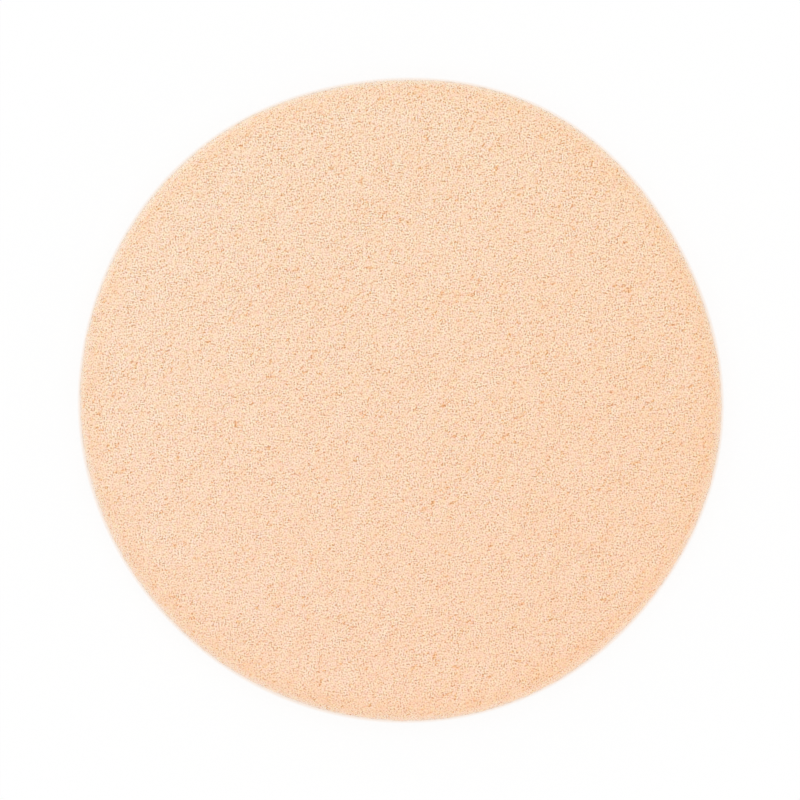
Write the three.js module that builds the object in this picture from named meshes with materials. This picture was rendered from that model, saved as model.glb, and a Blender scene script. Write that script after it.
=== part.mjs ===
// A round makeup puff, for patting powder and cream onto the skin: one disc of fine-celled foam rubber.
// It is cut from a flat sheet with a round die, and both of its edges are then ground over.
// Millimetres, +Z up. The puff lies flat, and the origin is in the middle of the face that it rests on.

import * as THREE from "three";

// Driving dimensions
const DIAMETER = 70; // across the disc, on average
const THICKNESS = 8; // of the foam sheet
const EDGE_RADIUS = 2.2; // of the ground edge round each face
const SIDE_PINCH = 0.15; // how far the side draws in, halfway up, where the die squeezed the foam
const CUT_WANDER = 0.13; // the highest of the waves in the cut outline

// A disc cut from soft foam isn't quite round. Each row is one wave of its outline:
// how many crests go round, the wave's height as a share of the wander, and where one crest lies in degrees.
const waveShares = [
  [2, 0.6, 113],
  [3, 0.75, 61],
  [4, 0.55, 75],
  [5, 1, 63],
  [6, 0.6, 62],
];

// A ground edge takes up no more than this share of the thickness, so that some side is left.
const edgeLimitShare = 0.45;

// How finely the disc is faceted
const STEPS_ROUND = 84;
const STEPS_EDGE = 5;
const STEPS_SIDE = 3;

const FOAM_COLOUR = 0xf7d4b5;

// How far the cut outline stands out from a true circle at an angle, in millimetres.
function outlineWander(angle) {
  let wander = 0;
  for (const [crests, heightShare, crestDegrees] of waveShares) {
    const fromCrest = angle - THREE.MathUtils.degToRad(crestDegrees);
    wander += CUT_WANDER * heightShare * Math.cos(crests * fromCrest);
  }
  return wander;
}

// Half the puff's section, from the middle of the lower face round the side to the middle of the upper one.
function halfSection() {
  const radius = DIAMETER / 2;
  const edge = Math.min(EDGE_RADIUS, THICKNESS * edgeLimitShare);
  const sideHeight = THICKNESS - 2 * edge;
  const points = [new THREE.Vector2(0, 0)];
  for (let i = 0; i <= STEPS_EDGE; i++) {
    const turn = (Math.PI / 2) * (i / STEPS_EDGE);
    const reach = radius - edge + edge * Math.sin(turn);
    points.push(new THREE.Vector2(reach, edge - edge * Math.cos(turn)));
  }
  for (let i = 1; i < STEPS_SIDE; i++) {
    const rise = i / STEPS_SIDE;
    const pinch = SIDE_PINCH * Math.sin(Math.PI * rise);
    points.push(new THREE.Vector2(radius - pinch, edge + sideHeight * rise));
  }
  for (let i = STEPS_EDGE; i >= 0; i--) {
    const turn = (Math.PI / 2) * (i / STEPS_EDGE);
    const reach = radius - edge + edge * Math.sin(turn);
    points.push(new THREE.Vector2(reach, THICKNESS - edge + edge * Math.cos(turn)));
  }
  points.push(new THREE.Vector2(0, THICKNESS));
  return points;
}

// The disc is turned from its section, and each ring of it then follows the wander of the cut outline.
function foamDiscGeometry() {
  const geometry = new THREE.LatheGeometry(halfSection(), STEPS_ROUND);
  geometry.rotateX(Math.PI / 2);
  const position = geometry.getAttribute("position");
  const radius = DIAMETER / 2;
  for (let i = 0; i < position.count; i++) {
    const angle = Math.atan2(position.getY(i), position.getX(i));
    const stretch = 1 + outlineWander(angle) / radius;
    position.setXY(i, position.getX(i) * stretch, position.getY(i) * stretch);
  }
  geometry.computeBoundingBox();
  const middle = geometry.boundingBox.getCenter(new THREE.Vector3());
  geometry.translate(-middle.x, -middle.y, 0);
  geometry.computeVertexNormals();
  return geometry;
}

function foamDisc() {
  const foam = new THREE.MeshStandardMaterial({ color: FOAM_COLOUR, roughness: 0.9, metalness: 0 });
  const disc = new THREE.Mesh(foamDiscGeometry(), foam);
  disc.name = "foam_disc";
  return disc;
}

const makeupPuff = new THREE.Group();
makeupPuff.name = "makeup_puff";
makeupPuff.add(foamDisc());

export default makeupPuff;
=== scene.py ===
import math

import bpy
import numpy as np
from mathutils import Matrix, Vector, noise


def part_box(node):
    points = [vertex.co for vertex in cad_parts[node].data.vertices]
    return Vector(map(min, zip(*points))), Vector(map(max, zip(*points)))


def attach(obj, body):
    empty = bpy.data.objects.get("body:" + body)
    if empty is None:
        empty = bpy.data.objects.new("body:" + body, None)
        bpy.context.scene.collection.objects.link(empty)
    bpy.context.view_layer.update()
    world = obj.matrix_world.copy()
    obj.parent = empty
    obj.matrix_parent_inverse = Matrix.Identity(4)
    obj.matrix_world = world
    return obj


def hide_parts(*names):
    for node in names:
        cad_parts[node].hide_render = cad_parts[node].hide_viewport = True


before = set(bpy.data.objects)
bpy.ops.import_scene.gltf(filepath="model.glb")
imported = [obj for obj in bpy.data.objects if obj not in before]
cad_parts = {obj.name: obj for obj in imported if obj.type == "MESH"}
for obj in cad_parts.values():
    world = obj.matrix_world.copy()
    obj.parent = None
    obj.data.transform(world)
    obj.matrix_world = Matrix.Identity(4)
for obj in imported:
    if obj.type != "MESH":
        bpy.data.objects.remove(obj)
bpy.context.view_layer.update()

# Camera
# The puff is photographed square onto its upper face, so a camera with a long lens hangs straight above it.
# Its height makes the puff as wide in the frame as in the photograph, and its place sets the puff's middle.
MM = 0.001

# In pixels of the photograph: its side, how wide the puff is, and where the middle of its box lies
PHOTO_SIDE = 800
PHOTO_PUFF_WIDTH = 640.9
PHOTO_PUFF_MIDDLE_X = 400.8
PHOTO_PUFF_MIDDLE_Y = 400.31

# The focal length and the sensor's width in millimetres, and the height at which the puff is widest
LENS = 150
SENSOR = 36
WIDEST_HEIGHT = 5.8 * MM

puff_low, puff_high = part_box("foam_disc")
pixel = (puff_high.x - puff_low.x) / PHOTO_PUFF_WIDTH
camera_data = bpy.data.cameras.new("camera")
camera_data.lens = LENS
camera_data.sensor_width = SENSOR
camera = bpy.data.objects.new("camera", camera_data)
camera.location = (
    (PHOTO_SIDE / 2 - PHOTO_PUFF_MIDDLE_X) * pixel,
    (PHOTO_PUFF_MIDDLE_Y - PHOTO_SIDE / 2) * pixel,
    WIDEST_HEIGHT + PHOTO_SIDE * pixel * LENS / SENSOR,
)
bpy.context.scene.collection.objects.link(camera)
bpy.context.scene.camera = camera

# Foam disc, the shape
# The puff is one disc of nitrile foam rubber, skived into a sheet and cut out with a round die.
# A grinding wheel then rounds both edges by hand, so the outline and the edges wander a little.
# The knife leaves the faces faintly streaked, and open wherever it went through a larger bubble.

# The ground edges and how their radius wanders, how far the side draws in halfway up, how far in from the
# outline the middle of each face ends and the rim begins, and how many waves the outline can follow
EDGE_RADIUS = 2.2 * MM
EDGE_WANDER = 0.3 * MM
EDGE_WANDER_LENGTH = 18 * MM
SIDE_PINCH = 0.15 * MM
FACE_INSET = 3.2 * MM
OUTLINE_WAVES = 7

# A point of the frame's disc that lies this near to the top of its side is on its widest ring
RING_TOLERANCE = 0.01 * MM

# The shoulders, where the edges turn into the side, get the palest painted highlight, lifting the shade of
# the tilted edge: how far in from the outline
SHOULDER_HIGHLIGHT_WIDTH = 0.8 * MM

# How finely each part of it is divided: a face each way, and the rim round and from one face to the other
GRID_CELLS = 183
SEGMENTS_ROUND = 4 * GRID_CELLS
FLAT_ROWS = 3
EDGE_ROWS = 12
SIDE_ROWS = 12

# The relief's layers: how long each one's hills are, and how high
SWELL_LENGTH = 11 * MM
SWELL_HEIGHT = 0.07 * MM
STREAK_DIRECTION = math.radians(60)
STREAK_LENGTH = 9 * MM
STREAK_WIDTH = 1.3 * MM
STREAK_HEIGHT = 0.02 * MM
LUMP_LENGTH = 0.55 * MM
LUMP_HEIGHT = 0.07 * MM
RIM_LUMP_HEIGHT = 0.11 * MM
PIT_SPACING = 1.3 * MM
PIT_RADIUS = 0.32 * MM
PIT_DEPTH = 0.09 * MM

# The flat map of the surface, one unit square: how much of it a metre takes, and the strips for the rim
MAP_SHARE = 9.1
RIM_STRIPS = 6
STRIP_LENGTH = 0.34
STRIP_WIDTH = 0.115
STRIP_GAP = 0.015


def waves_at(bearings):
    """The cosines and sines of a closed outline's waves at these bearings, one column each."""
    columns = [np.ones_like(bearings)]
    for crests in range(1, OUTLINE_WAVES + 1):
        columns.append(np.cos(crests * bearings))
        columns.append(np.sin(crests * bearings))
    return np.stack(columns, axis=1)


def outline_of(node):
    """The weights of the waves that follow the widest ring of the frame's own disc."""
    points = np.array([v.co for v in node.data.vertices])
    ring = points[np.abs(points[:, 2] - (puff_high.z - EDGE_RADIUS)) < RING_TOLERANCE]
    bearings = np.arctan2(ring[:, 1], ring[:, 0])
    radii = np.hypot(ring[:, 0], ring[:, 1])
    return np.linalg.lstsq(waves_at(bearings), radii, rcond=None)[0]


def face_grid():
    """A square grid laid evenly over a disc: each point's share of the radius, and its bearing."""
    steps = np.linspace(-1, 1, GRID_CELLS + 1)
    across, up = np.meshgrid(steps, steps, indexing="ij")
    wide = np.abs(across) >= np.abs(up)
    ahead = np.where(wide, across, up)
    beside = np.where(wide, up, across)
    turn = math.pi / 4 * beside / np.where(ahead == 0, 1, ahead)
    bearing = np.where(wide, turn, math.pi / 2 - turn) + np.where(ahead < 0, math.pi, 0)
    return np.abs(ahead).ravel(), bearing.ravel()


def face_edge():
    """The numbers of the grid's outer points, once round anticlockwise."""
    row = GRID_CELLS + 1
    side = np.arange(GRID_CELLS)
    right = GRID_CELLS * row + side
    top = (GRID_CELLS - side) * row + GRID_CELLS
    left = GRID_CELLS - side
    bottom = side * row
    return np.concatenate([right, top, left, bottom])


def rim_rows(edge_radius):
    """The rim's rows, from face to face: how far in from the outline, how high, how far it tilts up."""
    top = puff_high.z
    flat = np.linspace(0, 1, FLAT_ROWS + 1)[1:, None]
    turn = np.linspace(0, math.pi / 2, EDGE_ROWS + 1)[1:, None]
    drop = np.linspace(0, 1, SIDE_ROWS + 1)[1:, None]
    pinch = SIDE_PINCH * np.sin(math.pi * drop)
    bands = [
        (FACE_INSET + (edge_radius - FACE_INSET) * flat, top, math.pi / 2),
        (edge_radius * (1 - np.sin(turn)), top - edge_radius * (1 - np.cos(turn)), math.pi / 2 - turn),
        (pinch, top - edge_radius - (top - 2 * edge_radius) * drop, 0),
        (edge_radius * (1 - np.cos(turn)), edge_radius * (1 - np.sin(turn)), -turn),
        (edge_radius + (FACE_INSET - edge_radius) * flat[:-1], 0, -math.pi / 2),
    ]
    full = [np.broadcast_arrays(*band, edge_radius[None, :])[:3] for band in bands]
    return [np.concatenate(parts) for parts in zip(*full)]


def hills(point, length):
    """Smooth hills of about this length, from -1 to 1."""
    return noise.noise(point / length)


def smooth_form():
    """The disc before any relief: its points, which way each faces, how far in it is, and the shoulders'
    painted highlight.
    """
    weights = outline_of(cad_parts["foam_disc"])
    share, face_bearing = face_grid()
    rim_bearing = face_bearing[face_edge()]
    circle = [Vector((math.cos(b), math.sin(b), 0)) * puff_high.x for b in rim_bearing]
    wander = np.array([hills(point, EDGE_WANDER_LENGTH) for point in circle])
    edge_radius = EDGE_RADIUS + EDGE_WANDER * wander
    inset, height, tilt = rim_rows(edge_radius)
    below_shoulder = np.minimum(height, puff_high.z - height) - edge_radius
    side_share = np.clip(below_shoulder / (puff_high.z / 2 - edge_radius), 0, 1)
    rim_shoulder_highlight = np.clip(1 - inset / SHOULDER_HIGHLIGHT_WIDTH, 0, 1) * (1 - side_share)

    face_radius = share * (waves_at(face_bearing) @ weights - FACE_INSET)
    rim_radius = waves_at(rim_bearing) @ weights - inset
    radius = np.concatenate([face_radius, rim_radius.ravel(), face_radius])
    bearing = np.concatenate([face_bearing, np.tile(rim_bearing, len(inset)), face_bearing])
    one_face = np.ones(len(share))
    z = np.concatenate([one_face * puff_high.z, height.ravel(), one_face * 0])
    tilt = np.concatenate([one_face * math.pi / 2, tilt.ravel(), -one_face * math.pi / 2])
    from_outline = np.concatenate([one_face * FACE_INSET, inset.ravel(), one_face * FACE_INSET])
    shoulder_highlight = np.concatenate([one_face * 0, rim_shoulder_highlight.ravel(), one_face * 0])
    points = np.stack([radius * np.cos(bearing), radius * np.sin(bearing), z], axis=1)
    level = np.cos(tilt)
    out = np.stack([level * np.cos(bearing), level * np.sin(bearing), np.sin(tilt)], axis=1)
    return points, out, from_outline, shoulder_highlight


def relief_at(point, worn):
    """How far the foam stands out from its smooth form. Worn is 1 on the ground rim and 0 on the faces."""
    along_streaks = Matrix.Rotation(-STREAK_DIRECTION, 3, "Z") @ point
    along_streaks.x *= STREAK_WIDTH / STREAK_LENGTH
    height = SWELL_HEIGHT * hills(point, SWELL_LENGTH)
    height += STREAK_HEIGHT * hills(along_streaks, STREAK_WIDTH)
    height += (LUMP_HEIGHT + (RIM_LUMP_HEIGHT - LUMP_HEIGHT) * worn) * hills(point, LUMP_LENGTH)
    to_pit = noise.voronoi(point / PIT_SPACING)[0][0] * PIT_SPACING
    return height - PIT_DEPTH * max(0.0, 1 - (to_pit / PIT_RADIUS) ** 2)


def skin():
    """The corners of every small face: the upper face's, the rim's row by row, then the lower face's."""
    row = GRID_CELLS + 1
    rim_rings = FLAT_ROWS + EDGE_ROWS + SIDE_ROWS + EDGE_ROWS + FLAT_ROWS - 1
    first_rim = row ** 2
    first_lower = first_rim + rim_rings * SEGMENTS_ROUND
    i, j = np.meshgrid(np.arange(GRID_CELLS), np.arange(GRID_CELLS), indexing="ij")
    corner = (i * row + j).ravel()
    upper = np.stack([corner, corner + row, corner + row + 1, corner + 1], axis=1)
    lower = upper[:, ::-1] + first_lower

    edge = face_edge()[None, :]
    between = np.arange(first_rim, first_lower).reshape(rim_rings, -1)
    here = np.concatenate([edge, between, edge + first_lower])
    after = np.roll(here, -1, axis=1)
    rim = np.stack([here[:-1], here[1:], after[1:], after[:-1]], axis=-1).reshape(-1, 4)
    return np.concatenate([upper, rim, lower])


def flat_map(points, faces):
    """Where each small face's corners lie on the flat map. The disc's two faces lie in opposite corners of
    the square and nearly touch, and the strips of the rim lie in the other two."""
    middle = 1 / (2 + math.sqrt(2))
    on_face = GRID_CELLS ** 2
    places = points[faces][:, :, :2] * MAP_SHARE
    places[:on_face] += middle
    places[-on_face:] = places[-on_face:] * (-1, 1) + 1 - middle

    rows = (len(faces) - 2 * on_face) // SEGMENTS_ROUND
    row, segment = np.divmod(np.arange(rows * SEGMENTS_ROUND), SEGMENTS_ROUND)
    strip, step = np.divmod(segment, SEGMENTS_ROUND // RIM_STRIPS)
    corner, level = np.divmod(strip, RIM_STRIPS // 2)
    left = STRIP_GAP + 2 * middle * corner
    low = STRIP_GAP + 2 * middle * (1 - corner) + (STRIP_WIDTH + STRIP_GAP) * level
    along = (step[:, None] + np.array([0, 0, 1, 1])) * RIM_STRIPS / SEGMENTS_ROUND
    up = 1 - (row[:, None] + np.array([0, 1, 1, 0])) / rows
    places[on_face:-on_face, :, 0] = left[:, None] + STRIP_LENGTH * along
    places[on_face:-on_face, :, 1] = low[:, None] + STRIP_WIDTH * up
    return places


def foam_disc_mesh():
    """The finished disc. What would stand out below it is pressed flat where it rests."""
    points, out, from_outline, shoulder_highlight = smooth_form()
    worn = np.clip((FACE_INSET - from_outline) / EDGE_RADIUS, 0, 1)
    relief = np.array([relief_at(Vector(point), share) for point, share in zip(points, worn)])
    points += out * relief[:, None]
    points[:, 2] = np.maximum(points[:, 2], 0)
    faces = skin()

    mesh = bpy.data.meshes.new("foam_disc_shape")
    mesh.from_pydata(points.tolist(), [], faces.tolist())
    mesh.uv_layers.new(name="OFBake").data.foreach_set("uv", flat_map(points, faces).ravel())
    mesh.attributes.new("from_outline", "FLOAT", "POINT").data.foreach_set("value", from_outline / MM)
    mesh.attributes.new("shoulder_highlight", "FLOAT", "POINT").data.foreach_set("value", shoulder_highlight)
    mesh.shade_smooth()
    return mesh


foam_disc = bpy.data.objects.new("puff_foam", foam_disc_mesh())
bpy.context.scene.collection.objects.link(foam_disc)
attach(foam_disc, "root")
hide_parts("foam_disc")

# Foam disc, the finish
# Bare nitrile foam rubber, skived and ground but never sealed: pale cell walls round small open cells.
# Light that goes down into a cell, a tear or a crease comes out darker and more orange, so each is a speck.
# The finest cells are under 0.1 mm, too fine to show, so the grain of their walls is drawn at twice that.

# The cell walls and the open cells. All sizes of this finish are in millimetres. A bearing is the way that
# a pattern is drawn out, in degrees, and a length is by how many times.
GRAIN_SIZE = 0.2
CELL_SIZE = 0.36
CELL_BEARING = 35
CELL_LENGTH = 1.4

# How large the places are where the foam is firmer, with a crisper grain, and where its pigment differs
FIRM_SIZE = 1.3
PIGMENT_SIZE = 0.42

# Patches where the cells lie open, and the larger openings: pores, tears that lie two ways, and scars
PATCH_SIZE = 0.45
PATCH_BEARING = 30
PATCH_LENGTH = 1.8
PORE_SPACING = 0.55
PORE_RADIUS = 0.2
TEAR_SPACING = 1.2
TEAR_RADIUS = 0.32
TEAR_BEARINGS = (5, 65)
TEAR_LENGTH = 2.2
SCAR_SPACING = 3.5
SCAR_RADIUS = 0.3
SCAR_BEARING = 35

# How far the outlines of pores and tears are pushed about, and the flat bottom of an opening as a share of
# its radius
RAGGEDNESS = 0.7
FLAT_BOTTOM = 0.2

# Creases follow the middle of one noise, and another breaks them off where it lies below these values. Their
# half width is a share of the first one's range.
CREASE_SIZE = 0.55
CREASE_SHARE = 0.022
CREASE_BREAK = (0.5, 0.56)
NOISE_MIDDLE = 0.5

# The warmer streaks that the knife leaves
KNIFE_STREAK_SIZE = 0.8
KNIFE_STREAK_BEARING = 60
KNIFE_STREAK_LENGTH = 4

# How far in from the outline the edge is fully ground, and how far in the painted sheen reaches, which pales
# the rim where it turns away
FULLY_GROUND = 1.5
PAINTED_SHEEN_WIDTH = 0.9

# How far off a grain's or a cell's neighbours lie, as a share of its size
NEIGHBOUR_SHARE = 0.45

# All patterns but the firmness are tipped by these angles, in radians, so that none lines up with a face
PATTERN_TURN = (0.6, 0.4, 0.9)

# Across the disc the colour changes a little. Along y the grain gets more contrast, with more specks, and it
# turns less pink. The painted light falloff makes it paler to the upper left and more orange to the lower
# right, as if lit from the upper left. These are the changes in a millimetre along x, y and z.
UPWARD = (0, 0.002, 0)
PAINTED_LIGHT_FALLOFF = (0.0022, -0.0026, 0)

# What the layers add up to: a start, and each layer's weight. The height is in millimetres, the grain is
# multiplied by the crispness, and openness above 0 is itself the layer called open.
CRISPNESS = (0, {"firm": 2, "upward": 1})
HEIGHT = (0, {"grain": 0.06, "cell": 0.04})
OPENNESS = (-0.61, {
    "cell": -1.8,
    "patch": 0.95,
    "pore": 0.7,
    "tear": 0.8,
    "scar": 0.8,
    "crease": 1.8,
    "upward": 1,
})
LIGHTNESS = (0.46, {
    "grain": 0.88,
    "cell": 0.18,
    "open": -0.1,
    "firm": 0.08,
    # painted light: the ground rim band a little lighter, evening out the shade of its tilt
    "ground": 0.015,
    # painted highlight on the shoulders, lifting the shade of the tilted edge
    "shoulder_highlight": 0.035,
})
WARMTH = (0.13, {
    "open": 0.64,
    "streak": 0.45,
    # painted light and shade: paler to the upper left, more orange to the lower right
    "painted_falloff": 1,
    # painted shade: the ground rim band more orange, as it turns away from the light
    "ground": 0.12,
    # painted sheen: paler and less warm on the outer rim and the side, where they turn away
    "painted_sheen": -0.33,
})
PIGMENT = (0, {"pigment": 1, "upward": 0.66})

# The colours that lightness, warmth and pigment run through, each at its value. The three are multiplied.
LIGHTNESS_COLOURS = ((0.22, "#CFB096"), (0.5, "#FFEAD2"), (0.78, "#FFFCEA"))
WARMTH_COLOURS = ((0, "#FFFFFF"), (1, "#FFDBB5"))
PIGMENT_COLOURS = ((0.28, "#FFF5FF"), (0.72, "#FEFFF7"))


def linear(hex_colour):
    """An sRGB hex colour as linear numbers, by the standard's own curve, with alpha."""
    shares = [int(hex_colour[i:i + 2], 16) / 255 for i in (1, 3, 5)]
    return [s / 12.92 if s <= 0.04045 else ((s + 0.055) / 1.055) ** 2.4 for s in shares] + [1]


def emptied_tree(owner):
    """The node tree of a material or a world, with no nodes in it yet."""
    owner.use_nodes = True
    owner.node_tree.nodes.clear()
    return owner.node_tree


def add(tree, kind, inputs=None, **settings):
    """Adds a node. Settings are its own fields, and inputs are its sockets' values, or sockets to link."""
    node = tree.nodes.new("ShaderNode" + kind)
    for name, value in settings.items():
        setattr(node, name, value)
    for name, value in (inputs or {}).items():
        if isinstance(value, bpy.types.NodeSocket):
            tree.links.new(value, node.inputs[name])
        else:
            node.inputs[name].default_value = value
    return node


def blend(tree, layers, recipe):
    """A recipe's start, plus each layer that it names times its weight."""
    total, weights = recipe
    for name, weight in weights.items():
        terms = {0: layers[name], 1: weight, 2: total}
        total = add(tree, "Math", terms, operation="MULTIPLY_ADD").outputs[0]
    return total


def tinted(tree, value, colours):
    """The colour for a value, between colours given at set values."""
    ramp = add(tree, "ValToRGB", {"Fac": value})
    stops = ramp.color_ramp.elements
    while len(stops) < len(colours):
        stops.new(1)
    for stop, (position, colour) in zip(stops, colours):
        stop.position = position
        stop.color = linear(colour)
    return ramp.outputs["Color"]


def drawn_out(tree, mm, bearing, length):
    """A place in millimetres, drawn out along a bearing, and then tipped."""
    drawn = add(tree, "Mapping", {
        "Vector": mm,
        "Rotation": (0, 0, math.radians(bearing)),
        "Scale": (length, 1, 1),
    }, vector_type="TEXTURE").outputs[0]
    return add(tree, "Mapping", {"Vector": drawn, "Rotation": PATTERN_TURN}).outputs[0]


def crest_of(tree, mm, size, bearing, length):
    """How far a noise of this size stands above its four neighbours, looking only along the surface. They
    lie towards the corners of a tetrahedron, so that some are beside it whichever way the surface faces."""
    facing = add(tree, "TexCoord").outputs["Normal"]
    here = {"Vector": drawn_out(tree, mm, bearing, length), "Scale": 1 / size, "Detail": 0}
    crest = add(tree, "TexNoise", here).outputs["Fac"]
    ways = ((1, 1, 1), (1, -1, -1), (-1, 1, -1), (-1, -1, 1))
    for way in ways:
        lift = add(tree, "VectorMath", {0: way, 1: facing}, operation="PROJECT").outputs[0]
        level = add(tree, "VectorMath", {0: way, 1: lift}, operation="SUBTRACT").outputs[0]
        step = {0: level, 1: [size * NEIGHBOUR_SHARE] * 3, 2: mm}
        place = add(tree, "VectorMath", step, operation="MULTIPLY_ADD").outputs[0]
        beside = {"Vector": drawn_out(tree, place, bearing, length), "Scale": 1 / size, "Detail": 0}
        less = {0: add(tree, "TexNoise", beside).outputs["Fac"], 1: -1 / len(ways), 2: crest}
        crest = add(tree, "Math", less, operation="MULTIPLY_ADD").outputs[0]
    return crest


def openings(tree, place, spacing, radius):
    """Openings at this spacing and up to this radius, each its own size: 1 in the middle, 0 outside."""
    cells = add(tree, "TexVoronoi", {"Vector": place, "Scale": 1 / spacing})
    size = add(tree, "SeparateColor", {0: cells.outputs["Color"]}).outputs[0]
    reach = add(tree, "Math", {0: size, 1: radius / spacing}, operation="MULTIPLY").outputs[0]
    share = add(tree, "Math", {0: cells.outputs["Distance"], 1: reach}, operation="DIVIDE").outputs[0]
    ends = {"Value": share, "From Min": 1, "From Max": FLAT_BOTTOM}
    return add(tree, "MapRange", ends, interpolation_type="SMOOTHSTEP").outputs[0]


def creases(tree, place, breaking):
    """Fine lines where a noise crosses its middle, broken off wherever the other noise is low."""
    crossing = add(tree, "TexNoise", {"Vector": place, "Scale": 1 / CREASE_SIZE, "Detail": 1}).outputs["Fac"]
    aside = add(tree, "Math", {0: crossing, 1: NOISE_MIDDLE}, operation="SUBTRACT").outputs[0]
    aside = add(tree, "Math", {0: aside}, operation="ABSOLUTE").outputs[0]
    ends = {"Value": aside, "From Min": CREASE_SHARE, "From Max": 0}
    line = add(tree, "MapRange", ends, interpolation_type="SMOOTHSTEP").outputs[0]
    ends = {"Value": breaking, "From Min": CREASE_BREAK[0], "From Max": CREASE_BREAK[1]}
    kept = add(tree, "MapRange", ends, interpolation_type="SMOOTHSTEP").outputs[0]
    return add(tree, "Math", {0: line, 1: kept}, operation="MULTIPLY").outputs[0]


def foam_layers(tree, mm):
    """Every layer of the foam's look, by name."""
    patch_place = drawn_out(tree, mm, PATCH_BEARING, PATCH_LENGTH)
    patches = add(tree, "TexNoise", {"Vector": patch_place, "Scale": 1 / PATCH_SIZE, "Detail": 2})
    patch_colour = patches.outputs["Color"]
    shift = add(tree, "VectorMath", {0: patch_colour, "Scale": RAGGEDNESS}, operation="SCALE").outputs[0]
    ragged = add(tree, "VectorMath", {0: patch_place, 1: shift}, operation="ADD").outputs[0]
    breaking = add(tree, "SeparateColor", {0: patch_colour}).outputs[2]

    streak_place = drawn_out(tree, mm, KNIFE_STREAK_BEARING, KNIFE_STREAK_LENGTH)
    streaks = add(tree, "TexNoise", {
        "Vector": streak_place,
        "Scale": 1 / KNIFE_STREAK_SIZE,
        "Detail": 2,
    })
    pigment_place = drawn_out(tree, mm, 0, 1)
    pigment = add(tree, "TexNoise", {"Vector": pigment_place, "Scale": 1 / PIGMENT_SIZE, "Detail": 2})
    firmness = add(tree, "TexNoise", {"Vector": mm, "Scale": 1 / FIRM_SIZE, "Detail": 2})

    scar_place = drawn_out(tree, mm, SCAR_BEARING, TEAR_LENGTH)
    tears = []
    for bearing in TEAR_BEARINGS:
        tear_place = drawn_out(tree, mm, bearing, TEAR_LENGTH)
        torn = add(tree, "VectorMath", {0: tear_place, 1: shift}, operation="ADD").outputs[0]
        tears.append(openings(tree, torn, TEAR_SPACING, TEAR_RADIUS))

    from_outline = add(tree, "Attribute", attribute_name="from_outline").outputs["Fac"]
    ground = {"Value": from_outline, "From Min": FACE_INSET / MM, "From Max": FULLY_GROUND}
    painted_sheen = {"Value": from_outline, "From Min": PAINTED_SHEEN_WIDTH, "From Max": 0}
    upward = add(tree, "VectorMath", {0: mm, 1: UPWARD}, operation="DOT_PRODUCT")
    painted_falloff = add(tree, "VectorMath", {0: mm, 1: PAINTED_LIGHT_FALLOFF}, operation="DOT_PRODUCT")
    return {
        "grain": crest_of(tree, mm, GRAIN_SIZE, 0, 1),
        "firm": firmness.outputs["Fac"],
        "cell": crest_of(tree, mm, CELL_SIZE, CELL_BEARING, CELL_LENGTH),
        "patch": patches.outputs["Fac"],
        "pigment": pigment.outputs["Fac"],
        "streak": streaks.outputs["Fac"],
        "pore": openings(tree, ragged, PORE_SPACING, PORE_RADIUS),
        "tear": add(tree, "Math", {0: tears[0], 1: tears[1]}, operation="ADD").outputs[0],
        "scar": openings(tree, scar_place, SCAR_SPACING, SCAR_RADIUS),
        "crease": creases(tree, patch_place, breaking),
        "upward": upward.outputs["Value"],
        "painted_falloff": painted_falloff.outputs["Value"],
        "ground": add(tree, "MapRange", ground).outputs[0],
        "painted_sheen": add(tree, "MapRange", painted_sheen).outputs[0],
        "shoulder_highlight": add(tree, "Attribute", attribute_name="shoulder_highlight").outputs["Fac"],
    }


def bare_nitrile_foam():
    """Foam rubber as the knife and the wheel leave it: matte, with a faint pale sheen where it turns off,
    and a painted sheen and highlight on its rim.
    """
    material = bpy.data.materials.new("bare_nitrile_foam")
    tree = emptied_tree(material)
    place = add(tree, "TexCoord").outputs["Object"]
    mm = add(tree, "VectorMath", {0: place, "Scale": 1 / MM}, operation="SCALE").outputs[0]
    layers = foam_layers(tree, mm)
    crisp_grain = {0: layers["grain"], 1: blend(tree, layers, CRISPNESS)}
    layers["grain"] = add(tree, "Math", crisp_grain, operation="MULTIPLY").outputs[0]
    openness = blend(tree, layers, OPENNESS)
    layers["open"] = add(tree, "Math", {0: openness, 1: 0}, operation="MAXIMUM").outputs[0]

    bump = add(tree, "Bump", {"Height": blend(tree, layers, HEIGHT), "Distance": MM, "Strength": 1})
    light = tinted(tree, blend(tree, layers, LIGHTNESS), LIGHTNESS_COLOURS)
    warm = tinted(tree, blend(tree, layers, WARMTH), WARMTH_COLOURS)
    pigment = tinted(tree, blend(tree, layers, PIGMENT), PIGMENT_COLOURS)
    colour = add(tree, "VectorMath", {0: light, 1: warm}, operation="MULTIPLY").outputs[0]
    colour = add(tree, "VectorMath", {0: colour, 1: pigment}, operation="MULTIPLY").outputs[0]
    shader = add(tree, "BsdfPrincipled", {
        "Base Color": colour,
        "Roughness": 0.9,
        "Specular IOR Level": 0.25,
        "Sheen Weight": 0.8,
        "Sheen Roughness": 0.25,
        "Normal": bump.outputs["Normal"],
    })
    add(tree, "OutputMaterial", {"Surface": shader.outputs[0]})
    return material


foam_disc.data.materials.append(bare_nitrile_foam())

# Studio
# A round sheet of white paper under the puff, a large soft lamp at each side, and even light from all round.
# The paper shows white to the camera and keeps a trace of the puff's shadow, and under the puff it is plain.
# In between is a narrow ring where the paper's glow is tinted peach, painted light for the light that comes
# through the edge of the foam.

# The sheet's radius in metres, how far it lies below the puff, so that the two never share a plane, and its
# rings: how far each lies outside the puff's outline, and how much it glows white, with the sheet's rim last
PAPER_RADIUS = 2.0
PAPER_GAP = 0.02 * MM
PAPER_COLOUR = "#FAFAFA"
PAPER_RINGS = (0, 0.58 * MM, 0.9 * MM, 3 * MM)
WHITE_SHARES = (0, 0.5, 0.88, 0.94, 0.94)
# The glow's colour at each white share: the peach close round the puff is painted light
GLOW_COLOURS = ((0.5, "#FFEBDA"), (0.88, "#FFFFFF"))

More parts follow.
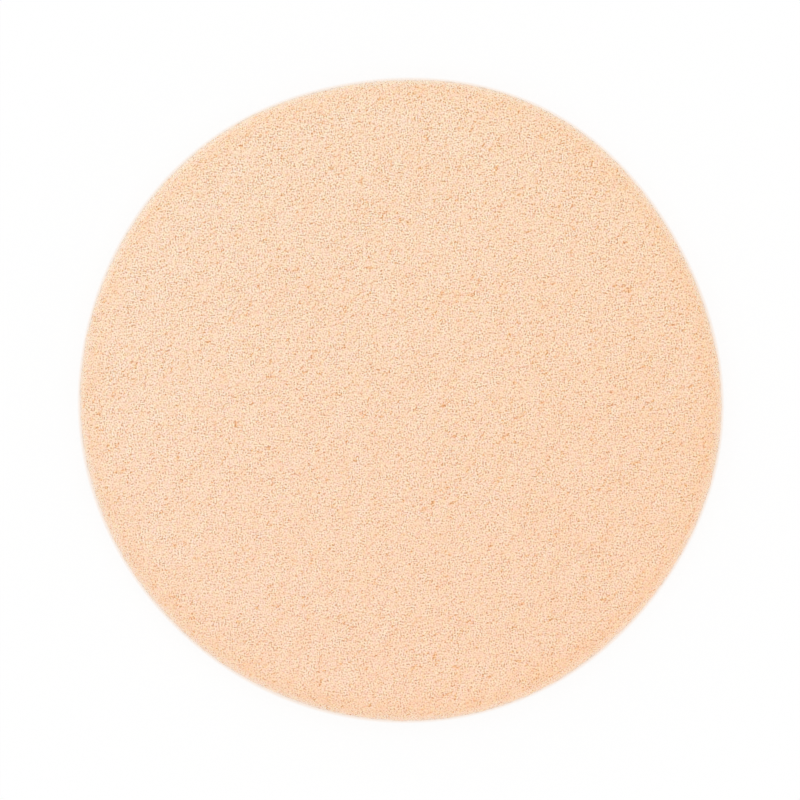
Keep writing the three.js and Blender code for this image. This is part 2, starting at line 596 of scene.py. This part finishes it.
# The strength of the light from all round, and the lamps: side and places in metres, power in watts
ROOM_LIGHT = 0.95
LAMP_SIDE = 0.5
KEY_PLACE = (-0.45, 0.5, 0.55)
KEY_POWER = 0.6
FILL_PLACE = (0.55, -0.45, 0.45)
FILL_POWER = 0.4


def seen_directly(tree):
    """1 where the camera sees a surface, itself or in gloss or glass, and 0 where it only lights others."""
    path = add(tree, "LightPath").outputs
    either = {0: path["Is Camera Ray"], 1: path["Is Glossy Ray"]}
    either = add(tree, "Math", either, operation="MAXIMUM").outputs[0]
    return add(tree, "Math", {0: either, 1: path["Is Transmission Ray"]}, operation="MAXIMUM").outputs[0]


def paper_mesh():
    """The sheet: a plain middle on the puff's outline, rings where it turns white, and all the rest."""
    bearings = np.linspace(0, 2 * math.pi, SEGMENTS_ROUND, endpoint=False)
    outline = waves_at(bearings) @ outline_of(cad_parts["foam_disc"])
    rings = np.stack([outline + width for width in PAPER_RINGS] + [0 * outline + PAPER_RADIUS])
    points = np.stack([rings * np.cos(bearings), rings * np.sin(bearings), 0 * rings], axis=-1)
    number = np.arange(rings.size).reshape(rings.shape)
    after = np.roll(number, -1, axis=1)
    strips = np.stack([number[:-1], number[1:], after[1:], after[:-1]], axis=-1)
    white_share = np.repeat(WHITE_SHARES, len(bearings))

    mesh = bpy.data.meshes.new("paper_sheet")
    faces = [number[0].tolist()] + strips.reshape(-1, 4).tolist()
    mesh.from_pydata(points.reshape(-1, 3).tolist(), [], faces)
    mesh.attributes.new("white_share", "FLOAT", "POINT").data.foreach_set("value", white_share)
    return mesh


def white_paper():
    """Matte white paper that glows enough to show as white, except close round the puff and under it."""
    material = bpy.data.materials.new("white_paper")
    tree = emptied_tree(material)
    white = add(tree, "Attribute", attribute_name="white_share").outputs["Fac"]
    share = add(tree, "Math", {0: seen_directly(tree), 1: white}, operation="MULTIPLY").outputs[0]
    paper = add(tree, "BsdfDiffuse", {"Color": linear(PAPER_COLOUR)}).outputs[0]
    glow = add(tree, "Emission", {"Color": tinted(tree, white, GLOW_COLOURS), "Strength": 1}).outputs[0]
    mixed = add(tree, "MixShader", {0: share, 1: paper, 2: glow}).outputs[0]
    add(tree, "OutputMaterial", {"Surface": mixed})
    return material


def room():
    """Even white light from everywhere, seen by the camera as plain white."""
    world = bpy.data.worlds.new("room")
    tree = emptied_tree(world)
    light = add(tree, "Background", {"Color": linear("#FFFFFF"), "Strength": ROOM_LIGHT}).outputs[0]
    white = add(tree, "Background", {"Color": linear("#FFFFFF"), "Strength": 1}).outputs[0]
    mixed = add(tree, "MixShader", {0: seen_directly(tree), 1: light, 2: white}).outputs[0]
    add(tree, "OutputWorld", {"Surface": mixed})
    return world


paper = bpy.data.objects.new("paper_sheet", paper_mesh())
paper.data.materials.append(white_paper())
paper.location.z = -PAPER_GAP
bpy.context.scene.collection.objects.link(paper)

for name, place, power in (("key_lamp", KEY_PLACE, KEY_POWER), ("fill_lamp", FILL_PLACE, FILL_POWER)):
    lamp_data = bpy.data.lights.new(name, "AREA")
    lamp_data.size = LAMP_SIDE
    lamp_data.energy = power
    lamp = bpy.data.objects.new(name, lamp_data)
    lamp.location = place
    lamp.rotation_euler = (-Vector(place)).to_track_quat("-Z", "Y").to_euler()
    bpy.context.scene.collection.objects.link(lamp)

bpy.context.scene.world = room()
bpy.context.scene.view_settings.view_transform = "Standard"
